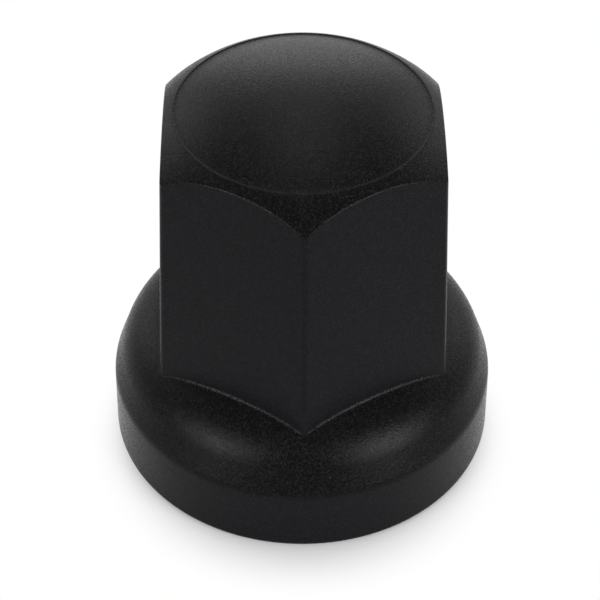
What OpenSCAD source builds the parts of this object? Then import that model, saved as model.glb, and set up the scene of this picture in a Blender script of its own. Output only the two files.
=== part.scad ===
// Push-on cap for a flanged wheel nut, moulded in one piece.
// The origin is the centre of the rim, on the wheel's face. +Z runs up through the nut.
// Two corners of the six-sided tower lie on the Y axis, and two of its faces look along X.

/* [Nut and washer] */
// Width across the flats of the nut
nut_af = 33; // [31:0.5:35]
// Height of the nut's top above the wheel
nut_h = 30; // [26:0.5:33]
// Diameter of the nut's captive washer
washer_d = 46; // [44:0.5:50]
// Clearance between each flat of the nut and the wall, at the foot of the tower
nut_gap = 0.5; // [0.3:0.05:0.7]
// Clearance between the washer and the bore of the skirt
washer_gap = 1.1; // [0.5:0.1:1.6]

/* [Wall] */
// Thickness of the moulded wall
wall = 2; // [1.6:0.1:2.4]

/* [Skirt] */
// Height of the upright band above the rim, up to the crease
band_h = 9.8; // [8:0.2:12]
// Draft of the band's outside, in degrees
band_draft = 1.3; // [0.5:0.1:2.5]
// Height of the cone above the crease
cone_h = 3.6; // [2:0.2:4.6]
// Slope of the cone from the horizontal, in degrees
cone_slope = 70.4; // [64:0.2:76]
// Radius of the roll-over from the cone to the foot of the tower
shoulder_r = 8.7; // [7:0.2:9.6]
// Blend radius of the crease between the band and the cone
crease_r = 4; // [1:0.5:6]
// Rounding of the rim's outer edge
rim_round = 1; // [0.4:0.1:1.2]
// Chamfer at the mouth of the bore
mouth_chamfer = 0.3; // [0.1:0.05:0.5]

/* [Tower] */
// Height of the whole cap
cap_h = 57.4; // [54:0.5:64]
// Draft of each of the six faces, in degrees
face_draft = 2.4; // [1.5:0.1:2.8]
// Rounding of the tower's six corners
corner_r = 0.9; // [0.6:0.1:1.6]
// Rounding of the six corners inside the socket
socket_corner_r = 1.2; // [0.6:0.1:1.8]

/* [Crown] */
// Radius of the domed field on top
dome_r = 33.5; // [28:0.5:42]
// Radius of the field's edge
field_r = 16.2; // [14:0.2:16.8]
// Depth of the field below the crown around it
field_step = 0.25; // [0.15:0.05:0.4]
// Radius of the roll-off from the field's edge to the six faces
roll_r = 12.6; // [10:0.2:15]

/* [Grip ribs] */
// Number of ribs on each flat
ribs_per_flat = 2; // [1:1:3]
// Distance between neighbouring ribs of a flat
rib_pitch = 8; // [6:0.5:8]
// Thickness of a rib
rib_t = 1.2; // [0.8:0.1:1.6]
// Depth that a rib's edge is pressed in by the nut's flat
rib_grip = 0.15; // [0.05:0.05:0.3]
// Distance that the ribs step in above the nut, as its stop
stop_step = 1.2; // [0.8:0.1:1.6]
// Height of the stop above the nut's top
stop_h = 2; // [1:0.5:3]
// Height of the ramps at both ends of a rib
rib_ramp = 3; // [2:0.5:4]

/* [Hidden] */

$fn = 180;
arc_step = 4;        // degrees between points of a drawn arc
corner_fn = 36;      // a multiple of 12, so that a corner arc ends on both flats
slice = 0.01;
cut = 1;             // how far a cut runs past the face that it opens
envelope_end = 76;   // slope at which the crown's roll-off ends, outside the tower

// Sizes of the skirt
bore_r = washer_d / 2 + washer_gap;
crease_rad = bore_r + wall;
rim_rad = crease_rad + band_h * tan(band_draft);
cone_z = band_h + cone_h;
cone_rad = crease_rad - cone_h / tan(cone_slope);
shoulder_c = [cone_rad - shoulder_r * sin(cone_slope), cone_z - shoulder_r * cos(cone_slope)];
foot_z = shoulder_c[1] + shoulder_r;

// Sizes of the tower and the crown
foot_half = nut_af / 2 + nut_gap + wall;
field_rise = dome_r - sqrt(pow(dome_r, 2) - pow(field_r, 2));
field_slope = asin(field_r / dome_r);
ledge_z = cap_h + field_step - field_rise;
roll_c = [field_r - roll_r * sin(field_slope), ledge_z - roll_r * cos(field_slope)];

// Points along an arc, from angle a0 to angle a1, counted from +X
function arc(c, r, a0, a1) =
    let (n = max(1, ceil(abs(a1 - a0) / arc_step)))
    [for (i = [0 : n]) let (a = a0 + (a1 - a0) * i / n) c + r * [cos(a), sin(a)]];

// Half the width across the tower's faces at height z
function half_width(z) = foot_half - (z - foot_z) * tan(face_draft);

// Blend of the band into the cone, as an arc that touches both
function crease_blend() =
    let (turn = 90 - cone_slope - band_draft,
         run = crease_r * tan(turn / 2),
         start = [crease_rad + run * sin(band_draft), band_h - run * cos(band_draft)],
         c = start - crease_r * [cos(band_draft), sin(band_draft)])
    arc(c, crease_r, band_draft, 90 - cone_slope);

// Outside of the skirt, closed down its axis
module skirt_outline() {
    rim_c = [rim_rad - rim_round * (1 + sin(band_draft)) / cos(band_draft), rim_round];
    polygon(concat(
        [[0, 0]],
        arc(rim_c, rim_round, -90, band_draft),
        crease_blend(),
        arc(shoulder_c, shoulder_r, 90 - cone_slope, 90),
        [[0, foot_z]]));
}

// Room inside the skirt, which keeps the wall under the cone and the shoulder
module recess_outline() {
    inner_r = shoulder_r - wall;
    cone_start = crease_rad - wall * sin(cone_slope);
    crease_z = band_h - wall * cos(cone_slope) + (cone_start - bore_r) * tan(cone_slope);
    polygon(concat(
        [[0, -cut], [bore_r + mouth_chamfer + cut, -cut], [bore_r, mouth_chamfer], [bore_r, crease_z]],
        arc(shoulder_c, inner_r, 90 - cone_slope, 90),
        [[0, shoulder_c[1] + inner_r]]));
}

// Dome and roll-off, set in by a distance, with the field lying a step below the roll-off
module crown_outline(inset, step) {
    roll = arc(roll_c - [0, field_step - step], roll_r - inset, 90 - envelope_end, 90 - field_slope);
    dome = arc([0, cap_h - dome_r], dome_r - inset, 90 - field_slope, 90);
    skirt_z = roll[0][1] - (rim_rad - roll[0][0]) * tan(envelope_end);
    first = step > 0 ? 0 : 1;    // without a step, the two arcs share a point
    polygon(concat(
        [[0, 0], [rim_rad, 0], [rim_rad, skirt_z]],
        roll,
        [for (i = [first : len(dome) - 1]) dome[i]]));
}

// Six-sided post with drafted faces, set in by a distance, with round corners
module drafted_hex(z0, z1, inset, r) {
    hull()
        for (z = [z0, z1], a = [30 : 60 : 330])
            rotate(a)
                translate([(half_width(z) - inset - r) / cos(30), 0, z])
                    cylinder(h = slice, r = r, $fn = corner_fn);
}

// Rib on the flat that looks along +X, with a ramp at both ends and a step that stops the nut
module grip_rib() {
    root = wall / 2;
    tip = nut_af / 2 - rib_grip;
    z0 = foot_z - wall;
    z1 = nut_h + stop_h;
    z2 = z1 + rib_ramp + stop_step;
    rotate([90, 0, 0])
        linear_extrude(height = rib_t, center = true)
            polygon([
                [half_width(z0) - root, z0],
                [half_width(z0) - wall, z0],
                [tip, z0 + rib_ramp],
                [tip, nut_h],
                [tip - stop_step, nut_h],
                [tip - stop_step, z1],
                [half_width(z2) - wall, z2],
                [half_width(z2) - root, z2]]);
}

module grip_ribs() {
    for (a = [0 : 60 : 300], i = [0 : ribs_per_flat - 1])
        rotate(a)
            translate([0, (i - (ribs_per_flat - 1) / 2) * rib_pitch, 0])
                grip_rib();
}

module outside() {
    rotate_extrude() skirt_outline();
    intersection() {
        drafted_hex(foot_z / 2, cap_h + cut, 0, corner_r);
        rotate_extrude() crown_outline(0, field_step);
    }
}

module inside() {
    rotate_extrude() recess_outline();
    intersection() {
        drafted_hex(foot_z / 2, cap_h + cut, wall, socket_corner_r);
        rotate_extrude() crown_outline(wall, 0);
    }
}

module nut_cap() {
    color("#1c1c1e") {
        difference() {
            outside();
            inside();
        }
        grip_ribs();
    }
}

nut_cap();
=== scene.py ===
"""Looks of a push-on wheel nut cap: its fine shape, its finish, the floor, the light and the camera."""

import math

import bpy
from mathutils import Matrix, Vector


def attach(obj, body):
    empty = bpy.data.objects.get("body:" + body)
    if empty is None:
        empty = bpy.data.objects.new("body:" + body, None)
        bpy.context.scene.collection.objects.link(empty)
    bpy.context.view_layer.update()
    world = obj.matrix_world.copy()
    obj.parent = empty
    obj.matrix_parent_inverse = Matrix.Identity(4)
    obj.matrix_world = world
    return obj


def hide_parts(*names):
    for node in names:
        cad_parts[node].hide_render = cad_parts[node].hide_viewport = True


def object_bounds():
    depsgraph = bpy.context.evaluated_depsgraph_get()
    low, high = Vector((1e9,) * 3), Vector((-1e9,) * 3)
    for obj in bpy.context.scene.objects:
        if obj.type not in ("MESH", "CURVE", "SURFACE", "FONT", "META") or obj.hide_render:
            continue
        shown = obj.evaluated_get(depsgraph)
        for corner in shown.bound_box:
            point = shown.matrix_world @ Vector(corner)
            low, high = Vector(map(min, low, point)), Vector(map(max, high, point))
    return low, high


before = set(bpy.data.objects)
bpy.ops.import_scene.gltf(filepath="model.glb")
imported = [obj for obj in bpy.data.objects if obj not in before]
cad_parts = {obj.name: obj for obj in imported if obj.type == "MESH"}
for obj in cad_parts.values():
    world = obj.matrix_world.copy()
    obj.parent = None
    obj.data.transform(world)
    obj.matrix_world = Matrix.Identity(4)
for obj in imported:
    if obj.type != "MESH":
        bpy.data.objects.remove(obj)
solid_low, solid_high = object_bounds()

NODE = "nut_cap"
MM = 0.001

# Sizes of the moulding in millimetres, the same as those of the solid
CAP_H = solid_high.z / MM
RIM_R = solid_high.x / MM
WALL = 2.0
BORE_R = 24.1
MOUTH = 0.3
RIM_ROUND = 1.0
BAND_H = 9.8
CREASE_ROUND = 4.0
CONE_H = 3.6
CONE_SLOPE = math.radians(70.4)
SHOULDER_R = 8.7
FOOT_HALF = 19.0
FACE_DRAFT = math.radians(2.4)
CORNER_R = 0.9
SOCKET_CORNER_R = 1.2
DOME_R = 33.5
FIELD_R = 16.2
FIELD_STEP = 0.25
ROLL_R = 12.6

# Sizes of the grip ribs in millimetres
NUT_HALF = 16.5
NUT_H = 30.0
RIB_GRIP = 0.15
RIB_T = 1.2
RIB_PITCH = 8.0
RIB_RAMP = 3.0
STOP_STEP = 1.2
STOP_H = 2.0
FACES = 6

# Soft edges that the mould leaves, in millimetres
FOOT_FILLET = 0.7
EDGE_ROUND = 0.5
LEDGE_W = 0.40
INSIDE_ROUND = 0.6
TRIM_ROUND = 0.12

# Steps along each part of the outline, from the rim upwards
MOUTH_STEPS = 3
RIM_STEPS = 9
BAND_STEPS = 6
CREASE_STEPS = 8
INNER_CREASE_STEPS = 6
CONE_STEPS = 3
SHOULDER_STEPS = 22
FOOT_STEPS = 8
FACE_STEPS = 16
EDGE_STEPS = 7
ROLL_STEPS = 12
LEDGE_STEPS = 8
DOME_STEPS = 26
CEILING_STEPS = 20

# Steps from the middle of a face to its corner, and round half the corner
FLAT_STEPS = 18
CORNER_STEPS = 6

# Grain of the finish: its scales per metre and the depth of its relief in metres
GRAIN_SCALE = 5500.0
PEAK_SCALE = 6500.0
GRAIN_DEPTH = 0.00006

# The grain is weaker on a steep wall than on a slope, by the upward share of the surface's normal; the
# same share blends in the steep wall's painted floor reflection
STEEP = 0.08
SLOPED = 0.35
STEEP_GRAIN = 0.5

# Roughness of the plastic: its lowest value, and the most that its grain and its slow flow marks add
ROUGH_LOW = 0.06
ROUGH_GRAIN = 0.3
ROUGH_FLOW = 0.1
FLOW_SCALE = 90.0

# Colours of the plastic: on a steep wall, made lighter as a painted reflection of the floor; between the
# painted glints of the grain; and on the grain's peaks, lighter as painted glints
WALL_PAINTED_REFLECTION = (0.0046, 0.0046, 0.0055, 1)
BETWEEN_GLINTS_BLACK = (0.0005, 0.0005, 0.0006, 1)
PEAK_PAINTED_GLINT = (0.0072, 0.0072, 0.0080, 1)
GLINT_SHARPNESS = 4.0
SPECULAR = 0.052

# Floor and room
WHITE = (1, 1, 1, 1)
FLOOR_TONE = (0.56, 0.56, 0.56, 1)
FLOOR_R = 4.0
FLOOR_SIDES = 96
ROOM_LIGHT = 0.8

# Middle of the shadow on the floor, and the distances from it at which the fade to white starts and ends
SHADOW_C = (0, -0.005, 0)
SHADOW_NEAR = 0.021
SHADOW_FAR = 0.0305

# Places that follow from the sizes
CREASE = Vector((BORE_R + WALL, BAND_H))
CONE_TOP = CREASE + Vector((-CONE_H / math.tan(CONE_SLOPE), CONE_H))
CONE_LEAN = math.pi / 2 - CONE_SLOPE
SHOULDER_C = CONE_TOP - SHOULDER_R * Vector((math.cos(CONE_LEAN), math.sin(CONE_LEAN)))
FOOT_Z = SHOULDER_C.y + SHOULDER_R
FIELD_SLOPE = math.asin(FIELD_R / DOME_R)
LEDGE_Z = CAP_H + FIELD_STEP - DOME_R * (1 - math.cos(FIELD_SLOPE))
ROLL_C = Vector((FIELD_R, LEDGE_Z)) - ROLL_R * Vector((math.sin(FIELD_SLOPE), math.cos(FIELD_SLOPE)))
DOME_C = Vector((0, CAP_H - DOME_R))


def heading(v):
    """Direction of a flat vector, from 0 to a full turn."""
    return math.atan2(v.y, v.x) % math.tau


def arc_points(centre, radius, start, end, count):
    """Points along an arc, without its last one."""
    angles = [start + (end - start) * i / count for i in range(count)]
    return [centre + radius * Vector((math.cos(a), math.sin(a))) for a in angles]


def line_points(start, end, count):
    """Points along a line, without its last one."""
    return [start.lerp(end, i / count) for i in range(count)]


def bend(before, corner, after, radius, count):
    """Points of the arc that rounds a corner of an outline, with both its ends."""
    back = (before - corner).normalized()
    on = (after - corner).normalized()
    half = back.angle(on) / 2
    centre = corner + (back + on).normalized() * radius / math.sin(half)
    start = corner + back * radius / math.tan(half)
    end = corner + on * radius / math.tan(half)
    turn = (heading(end - centre) - heading(start - centre) + math.pi) % math.tau - math.pi
    first = heading(start - centre)
    return arc_points(centre, radius, first, first + turn, count) + [end]


def half_width(z):
    """Half the width across the tower's faces at a height."""
    return FOOT_HALF - (z - FOOT_Z) * math.tan(FACE_DRAFT)


def tower_radius(turn, half, corner):
    """Radius of a six-sided section with round corners, at an angle from the middle of a face."""
    turn = abs(turn)
    if turn <= math.atan2((half - corner) * math.tan(math.pi / FACES), half):
        return half / math.cos(turn)
    to_centre = (half - corner) / math.cos(math.pi / FACES)
    off = math.pi / FACES - turn
    return to_centre * math.cos(off) + math.sqrt(corner ** 2 - (to_centre * math.sin(off)) ** 2)


def meet(start, way, centre, reach):
    """The upper point of a line that lies at a distance from a centre."""
    back = start - centre
    along = back.dot(way)
    return start + way * (math.sqrt(along ** 2 - back.dot(back) + reach ** 2) - along)


def tower_outline(turn, inset, corner, foot_round, top_round, drop):
    """Shoulder, foot, face, top edge and roll-off of the tower, from below upwards, at one angle."""
    roll_c = ROLL_C - Vector((0, drop))
    low = Vector((tower_radius(turn, half_width(FOOT_Z) - inset, corner), FOOT_Z))
    high = Vector((tower_radius(turn, half_width(LEDGE_Z) - inset, corner), LEDGE_Z))
    rise = (high - low).normalized()
    out = Vector((rise.y, -rise.x))
    foot_c = meet(low + foot_round * out, rise, SHOULDER_C, SHOULDER_R - inset + foot_round)
    top_c = meet(low - top_round * out, rise, roll_c, ROLL_R - inset - top_round)
    shoulder_end = heading(foot_c - SHOULDER_C)
    roll_start = heading(top_c - roll_c)
    return (
        arc_points(SHOULDER_C, SHOULDER_R - inset, CONE_LEAN, shoulder_end, SHOULDER_STEPS)
        + arc_points(foot_c, foot_round, heading(SHOULDER_C - foot_c), heading(-out), FOOT_STEPS)
        + line_points(foot_c - foot_round * out, top_c + top_round * out, FACE_STEPS)
        + arc_points(top_c, top_round, heading(out), roll_start, EDGE_STEPS)
        + arc_points(roll_c, ROLL_R - inset, roll_start, math.pi / 2 - FIELD_SLOPE, ROLL_STEPS)
    )


def ledge_outline():
    """The fine step from the crown down to the field, with soft edges, from outside inwards."""
    points = []
    for i in range(LEDGE_STEPS + 1):
        part = i / LEDGE_STEPS
        radius = FIELD_R + LEDGE_W * (0.5 - part)
        crown = ROLL_C.y + math.sqrt(ROLL_R ** 2 - (radius - ROLL_C.x) ** 2)
        field = DOME_C.y + math.sqrt(DOME_R ** 2 - radius ** 2)
        share = part ** 2 * (3 - 2 * part)
        points.append(Vector((radius, crown + (field - crown) * share)))
    return points


def outside_outline(turn):
    """Outside of the cap from the rim's flat up to the top of the dome, at one angle."""
    mouth = Vector((BORE_R + MOUTH, 0))
    rim = Vector((RIM_R, 0))
    rim_bend = bend(mouth, rim, CREASE, RIM_ROUND, RIM_STEPS)
    crease_bend = bend(rim, CREASE, CONE_TOP, CREASE_ROUND, CREASE_STEPS)
    tower = tower_outline(turn, 0, CORNER_R, FOOT_FILLET, EDGE_ROUND, 0)
    ledge = ledge_outline()
    dome_start = heading(ledge[-1] - DOME_C)
    return (
        line_points(mouth, rim_bend[0], MOUTH_STEPS)[1:]
        + rim_bend
        + line_points(rim_bend[-1], crease_bend[0], BAND_STEPS)[1:]
        + crease_bend
        + line_points(crease_bend[-1], CONE_TOP, CONE_STEPS)[1:]
        + tower[:-1]
        + ledge
        + arc_points(DOME_C, DOME_R, dome_start, math.pi / 2, DOME_STEPS)[1:]
        + [Vector((0, CAP_H))]
    )


def inside_outline(turn):
    """Inside of the cap from the mouth of the bore up to the dome's ceiling, at one angle."""
    sink = WALL * Vector((math.cos(CONE_LEAN), math.sin(CONE_LEAN)))
    cone_low = CREASE - sink
    cone_top = CONE_TOP - sink
    crease_z = cone_low.y + (cone_low.x - BORE_R) * math.tan(CONE_SLOPE)
    rim = Vector((RIM_R, 0))
    mouth = Vector((BORE_R + MOUTH, 0))
    bore_low = Vector((BORE_R, MOUTH))
    crease = Vector((BORE_R, crease_z))
    bore_bend = bend(mouth, bore_low, crease, TRIM_ROUND, MOUTH_STEPS)
    crease_bend = bend(bore_low, crease, cone_top, CREASE_ROUND - WALL, INNER_CREASE_STEPS)
    return (
        bend(rim, mouth, bore_low, TRIM_ROUND, MOUTH_STEPS)
        + bore_bend
        + line_points(bore_bend[-1], crease_bend[0], BAND_STEPS)[1:]
        + crease_bend
        + line_points(crease_bend[-1], cone_top, CONE_STEPS)[1:]
        + tower_outline(turn, WALL, SOCKET_CORNER_R, INSIDE_ROUND, INSIDE_ROUND, FIELD_STEP)
        + arc_points(DOME_C, DOME_R - WALL, math.pi / 2 - FIELD_SLOPE, math.pi / 2, CEILING_STEPS)
        + [Vector((0, CAP_H - WALL))]
    )


def face_turns():
    """Angles from the middle of a face to its corner: even steps on the flat, close ones at the corner."""
    half = half_width((FOOT_Z + LEDGE_Z) / 2) - CORNER_R
    side = half * math.tan(math.pi / FACES)
    bends = [math.pi / FACES * i / CORNER_STEPS for i in range(CORNER_STEPS + 1)]
    corner = [math.atan2(side + CORNER_R * math.sin(b), half + CORNER_R * math.cos(b)) for b in bends]
    return [corner[0] * i / FLAT_STEPS for i in range(FLAT_STEPS)] + corner


def deselect_all():
    """Leaves nothing selected, so that an operator acts only on the new piece."""
    bpy.ops.object.select_all(action="DESELECT")


def take_modifier(piece, kind, **values):
    """Gives a piece a modifier and applies it."""
    modifier = piece.modifiers.new(kind.lower(), kind)
    for name, value in values.items():
        setattr(modifier, name, value)
    deselect_all()
    bpy.context.view_layer.objects.active = piece
    piece.select_set(True)
    bpy.ops.object.modifier_apply(modifier=modifier.name)


def model_shell():
    """The moulding without its ribs: a ball of rings, laid on the cap's outline from dome to ceiling."""
    turns = face_turns()
    azimuths = []
    for face in range(FACES):
        middle = face * math.tau / FACES
        azimuths += [(middle - t, t) for t in reversed(turns[1:-1])]
        azimuths += [(middle + t, t) for t in turns]
    chains = {t: outside_outline(t)[::-1] + inside_outline(t) for t in turns}
    rings = len(chains[turns[0]]) - 1
    deselect_all()
    bpy.ops.mesh.primitive_uv_sphere_add(segments=len(azimuths), ring_count=rings, radius=1)
    shell = bpy.context.object
    for vertex in shell.data.vertices:
        place = vertex.co
        ring = round(math.acos(max(-1, min(1, place.z))) / math.pi * rings)
        step = round(heading(place) / math.tau * len(azimuths)) % len(azimuths)
        azimuth, turn = azimuths[step]
        point = chains[turn][ring] * MM
        vertex.co = (point.x * math.cos(azimuth), point.x * math.sin(azimuth), point.y)
    return shell


def model_rib():
    """One grip rib on the face that looks along +X: ramp, grip, stop and a ramp back to the wall."""
    root = WALL / 2
    tip = NUT_HALF - RIB_GRIP
    low = FOOT_Z - WALL
    stop = NUT_H + STOP_H
    high = stop + RIB_RAMP + STOP_STEP
    outline = [
        (half_width(low) - root, low),
        (half_width(low) - WALL, low),
        (tip, low + RIB_RAMP),
        (tip, NUT_H),
        (tip - STOP_STEP, NUT_H),
        (tip - STOP_STEP, stop),
        (half_width(high) - WALL, high),
        (half_width(high) - root, high),
    ]
    deselect_all()
    bpy.ops.mesh.primitive_circle_add(vertices=len(outline), radius=1, fill_type="NGON")
    rib = bpy.context.object
    for vertex, (radius, z) in zip(rib.data.vertices, outline):
        vertex.co = (radius * MM, -RIB_T / 2 * MM, z * MM)
    bpy.ops.object.mode_set(mode="EDIT")
    bpy.ops.mesh.select_all(action="SELECT")
    bpy.ops.mesh.extrude_region_move(TRANSFORM_OT_translate={"value": (0, RIB_T * MM, 0)})
    bpy.ops.mesh.select_all(action="SELECT")
    bpy.ops.mesh.normals_make_consistent(inside=False)
    bpy.ops.mesh.bevel(offset=TRIM_ROUND * MM, segments=2, affect="EDGES")
    bpy.ops.object.mode_set(mode="OBJECT")
    return rib


def model_cap():
    """The whole moulding: the shell with a pair of ribs on each face of its socket."""
    cap = model_shell()
    rib = model_rib()
    ribs = []
    for face in range(FACES):
        for side in (-0.5, 0.5):
            copy = rib.copy()
            copy.data = rib.data.copy()
            shift = Matrix.Translation((0, side * RIB_PITCH * MM, 0))
            copy.data.transform(Matrix.Rotation(face * math.tau / FACES, 4, "Z") @ shift)
            bpy.context.collection.objects.link(copy)
            ribs.append(copy)
    bpy.data.objects.remove(rib)
    deselect_all()
    for copy in ribs:
        copy.select_set(True)
    bpy.context.view_layer.objects.active = ribs[0]
    bpy.ops.object.join()
    take_modifier(cap, "BOOLEAN", operation="UNION", object=ribs[0], solver="EXACT")
    bpy.data.objects.remove(ribs[0])
    for face in cap.data.polygons:
        face.use_smooth = True
    take_modifier(cap, "WEIGHTED_NORMAL", weight=50)
    cap.name = "moulded_cap"
    return cap


def feed(tree, socket, value):
    """Links a node's input to an output of another node, or sets its plain value."""
    if isinstance(value, bpy.types.NodeSocket):
        tree.links.new(value, socket)
    else:
        socket.default_value = value


def add_node(tree, kind, **inputs):
    """Adds a shader node and feeds its inputs by name."""
    node = tree.nodes.new(kind)
    for name, value in inputs.items():
        feed(tree, node.inputs[name], value)
    return node


def add_math(tree, operation, *values):
    """Adds a Math node, feeds its inputs in turn and gives its result."""
    node = tree.nodes.new("ShaderNodeMath")
    node.operation = operation
    for socket, value in zip(node.inputs, values):
        feed(tree, socket, value)
    return node.outputs[0]


def mix_colours(tree, share, first, second):
    """Adds a Mix node for colours and gives its result."""
    node = tree.nodes.new("ShaderNodeMix")
    node.data_type = "RGBA"
    for place, value in ((0, share), (6, first), (7, second)):
        feed(tree, node.inputs[place], value)
    return node.outputs[2]


def mix_shaders(tree, share, first, second):
    """Adds a Mix Shader node and gives its result."""
    node = tree.nodes.new("ShaderNodeMixShader")
    for socket, value in zip(node.inputs, (share, first, second)):
        feed(tree, socket, value)
    return node.outputs[0]


def moulded_plastic():
    """Matt black plastic with a spark-eroded grain: fine on steep walls, coarser on the slopes. Its base
    colour holds painted glints on the grain's peaks and a painted floor reflection that makes the steep
    walls lighter.
    """
    material = bpy.data.materials.new("matt_black_plastic")
    material.use_nodes = True
    tree = material.node_tree
    shader = tree.nodes["Principled BSDF"]
    coords = tree.nodes.new("ShaderNodeTexCoord")
    place = coords.outputs["Object"]

    upward = add_node(tree, "ShaderNodeSeparateXYZ", Vector=coords.outputs["Normal"]).outputs["Z"]
    slope = add_node(tree, "ShaderNodeMapRange", Value=upward)
    slope.inputs["From Min"].default_value = STEEP
    slope.inputs["From Max"].default_value = SLOPED
    slope.inputs["To Min"].default_value = STEEP_GRAIN
    grain_share_over_wall_light = slope.outputs["Result"]

    grain = add_node(tree, "ShaderNodeTexNoise", Vector=place, Scale=GRAIN_SCALE, Detail=2.0)
    relief = add_math(tree, "MULTIPLY", grain.outputs["Fac"], grain_share_over_wall_light)
    bump = add_node(tree, "ShaderNodeBump", Strength=1.0, Distance=GRAIN_DEPTH, Height=relief)
    feed(tree, shader.inputs["Normal"], bump.outputs["Normal"])

    cells = add_node(tree, "ShaderNodeTexVoronoi", Vector=place, Scale=PEAK_SCALE)
    chance = add_node(tree, "ShaderNodeSeparateColor", Color=cells.outputs["Color"])
    flow = add_node(tree, "ShaderNodeTexNoise", Vector=place, Scale=FLOW_SCALE, Detail=4.0)
    mottle = add_math(tree, "MULTIPLY", chance.outputs["Green"], ROUGH_GRAIN)
    sheen = add_math(tree, "MULTIPLY_ADD", flow.outputs["Fac"], ROUGH_FLOW, mottle)
    feed(tree, shader.inputs["Roughness"], add_math(tree, "ADD", sheen, ROUGH_LOW))

    # Painted glints: the lighter colour on the grain's peaks stands in for the light that they catch
    glint_mask = add_math(tree, "POWER", chance.outputs["Red"], GLINT_SHARPNESS)
    glinting_specks = mix_colours(tree, glint_mask, BETWEEN_GLINTS_BLACK, PEAK_PAINTED_GLINT)
    # Painted floor reflection: the steep walls get a lighter plain colour, blended in by the grain share
    feed(tree, shader.inputs["Base Color"], mix_colours(tree, grain_share_over_wall_light, WALL_PAINTED_REFLECTION, glinting_specks))
    shader.inputs["Specular IOR Level"].default_value = SPECULAR
    return material


def seen_directly(tree):
    """A mask that is 1 for rays from the camera, from a gloss and through glass."""
    path = tree.nodes.new("ShaderNodeLightPath")
    either = add_math(tree, "MAXIMUM", path.outputs["Is Camera Ray"], path.outputs["Is Glossy Ray"])
    return add_math(tree, "MAXIMUM", either, path.outputs["Is Transmission Ray"])


def pale_floor():
    """Floor that keeps the cap's soft shadow, and fades to white for the eye further out."""
    material = bpy.data.materials.new("pale_floor")
    material.use_nodes = True
    tree = material.node_tree
    tree.nodes.remove(tree.nodes["Principled BSDF"])
    plain = add_node(tree, "ShaderNodeBsdfDiffuse", Color=FLOOR_TONE)
    white = add_node(tree, "ShaderNodeEmission", Color=WHITE, Strength=1.0)
    coords = tree.nodes.new("ShaderNodeTexCoord")
    reach = tree.nodes.new("ShaderNodeVectorMath")
    reach.operation = "DISTANCE"
    feed(tree, reach.inputs[0], coords.outputs["Object"])
    feed(tree, reach.inputs[1], SHADOW_C)
    fade = add_node(tree, "ShaderNodeMapRange", Value=reach.outputs["Value"])
    fade.interpolation_type = "SMOOTHSTEP"
    fade.inputs["From Min"].default_value = SHADOW_NEAR
    fade.inputs["From Max"].default_value = SHADOW_FAR
    share = add_math(tree, "MULTIPLY", fade.outputs["Result"], seen_directly(tree))
    shown = mix_shaders(tree, share, plain.outputs[0], white.outputs[0])
    feed(tree, tree.nodes["Material Output"].inputs["Surface"], shown)
    return material


def white_room():
    """World that shows white to the eye and lights evenly."""
    world = bpy.data.worlds.new("white_room")
    bpy.context.scene.world = world
    world.use_nodes = True
    tree = world.node_tree
    plain = tree.nodes["Background"]
    plain.inputs["Color"].default_value = WHITE
    plain.inputs["Strength"].default_value = ROOM_LIGHT
    white = add_node(tree, "ShaderNodeBackground", Color=WHITE, Strength=1.0)
    shown = mix_shaders(tree, seen_directly(tree), plain.outputs[0], white.outputs[0])
    feed(tree, tree.nodes["World Output"].inputs["Surface"], shown)


def soft_box(name, azimuth, elevation, distance, width, height, power):
    """Area lamp that looks at the cap. Azimuth 0 is behind the camera, and 90 is on the camera's right."""
    lamp = bpy.data.lights.new(name, "AREA")
    lamp.shape = "RECTANGLE"
    lamp.size = width
    lamp.size_y = height
    lamp.energy = power
    box = bpy.data.objects.new(name, lamp)
    turn = math.radians(azimuth)
    lift = math.radians(elevation)
    way = Vector((math.sin(turn) * math.cos(lift), -math.cos(turn) * math.cos(lift), math.sin(lift)))
    aim = Vector((0, 0, CAP_H / 2 * MM))
    facing = way.to_track_quat("Z", "Y").to_matrix().to_4x4()
    box.matrix_world = Matrix.Translation(aim + way * distance) @ facing
    bpy.context.collection.objects.link(box)


def set_camera():
    """Camera at the photograph's height, distance and angle."""
    elevation = math.radians(43.32)
    distance = 0.264
    aim_height = 0.0207
    aim_side = -0.0003
    roll = math.radians(0.23)
    turn = math.radians(-0.8)
    lens = 116.1
    sensor = 36.0
    camera_data = bpy.data.cameras.new("camera")
    camera_data.sensor_width = sensor
    camera_data.lens = lens
    camera = bpy.data.objects.new("camera", camera_data)
    back = Vector((aim_side, -distance * math.cos(elevation), aim_height + distance * math.sin(elevation)))
    look = Matrix.Rotation(math.pi / 2 - elevation, 4, "X") @ Matrix.Rotation(roll, 4, "Z")
    camera.matrix_world = Matrix.Rotation(turn, 4, "Z") @ Matrix.Translation(back) @ look
    bpy.context.collection.objects.link(camera)
    bpy.context.scene.camera = camera


def lay_floor():
    """Wide pale floor under the rim."""
    deselect_all()
    bpy.ops.mesh.primitive_circle_add(vertices=FLOOR_SIDES, radius=FLOOR_R, fill_type="NGON")
    floor = bpy.context.object
    floor.name = "floor"
    floor.data.materials.append(pale_floor())


cap = model_cap()
cap.data.materials.clear()
cap.data.materials.append(moulded_plastic())
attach(cap, "root")
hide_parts(NODE)

lay_floor()
white_room()

# Lamps: azimuth and elevation in degrees, distance, width and height in metres, power in watts
soft_box("left_box", -47, 9, 0.36, 0.18, 0.12, 1.35)
soft_box("right_box", 47, 9, 0.36, 0.18, 0.12, 1.7)
soft_box("left_back", -130, 24, 0.8, 0.5, 0.5, 2.0)
soft_box("right_back", 130, 24, 0.8, 0.5, 0.5, 1.9)
soft_box("back_box", 180, 16, 0.8, 0.45, 0.35, 1.3)
soft_box("high_box", 180, 50, 0.8, 0.4, 0.4, 1.1)
soft_box("top_strip", 180, 76, 0.8, 0.2, 0.4, 1.8)
set_camera()
bpy.context.scene.view_settings.view_transform = "Standard"
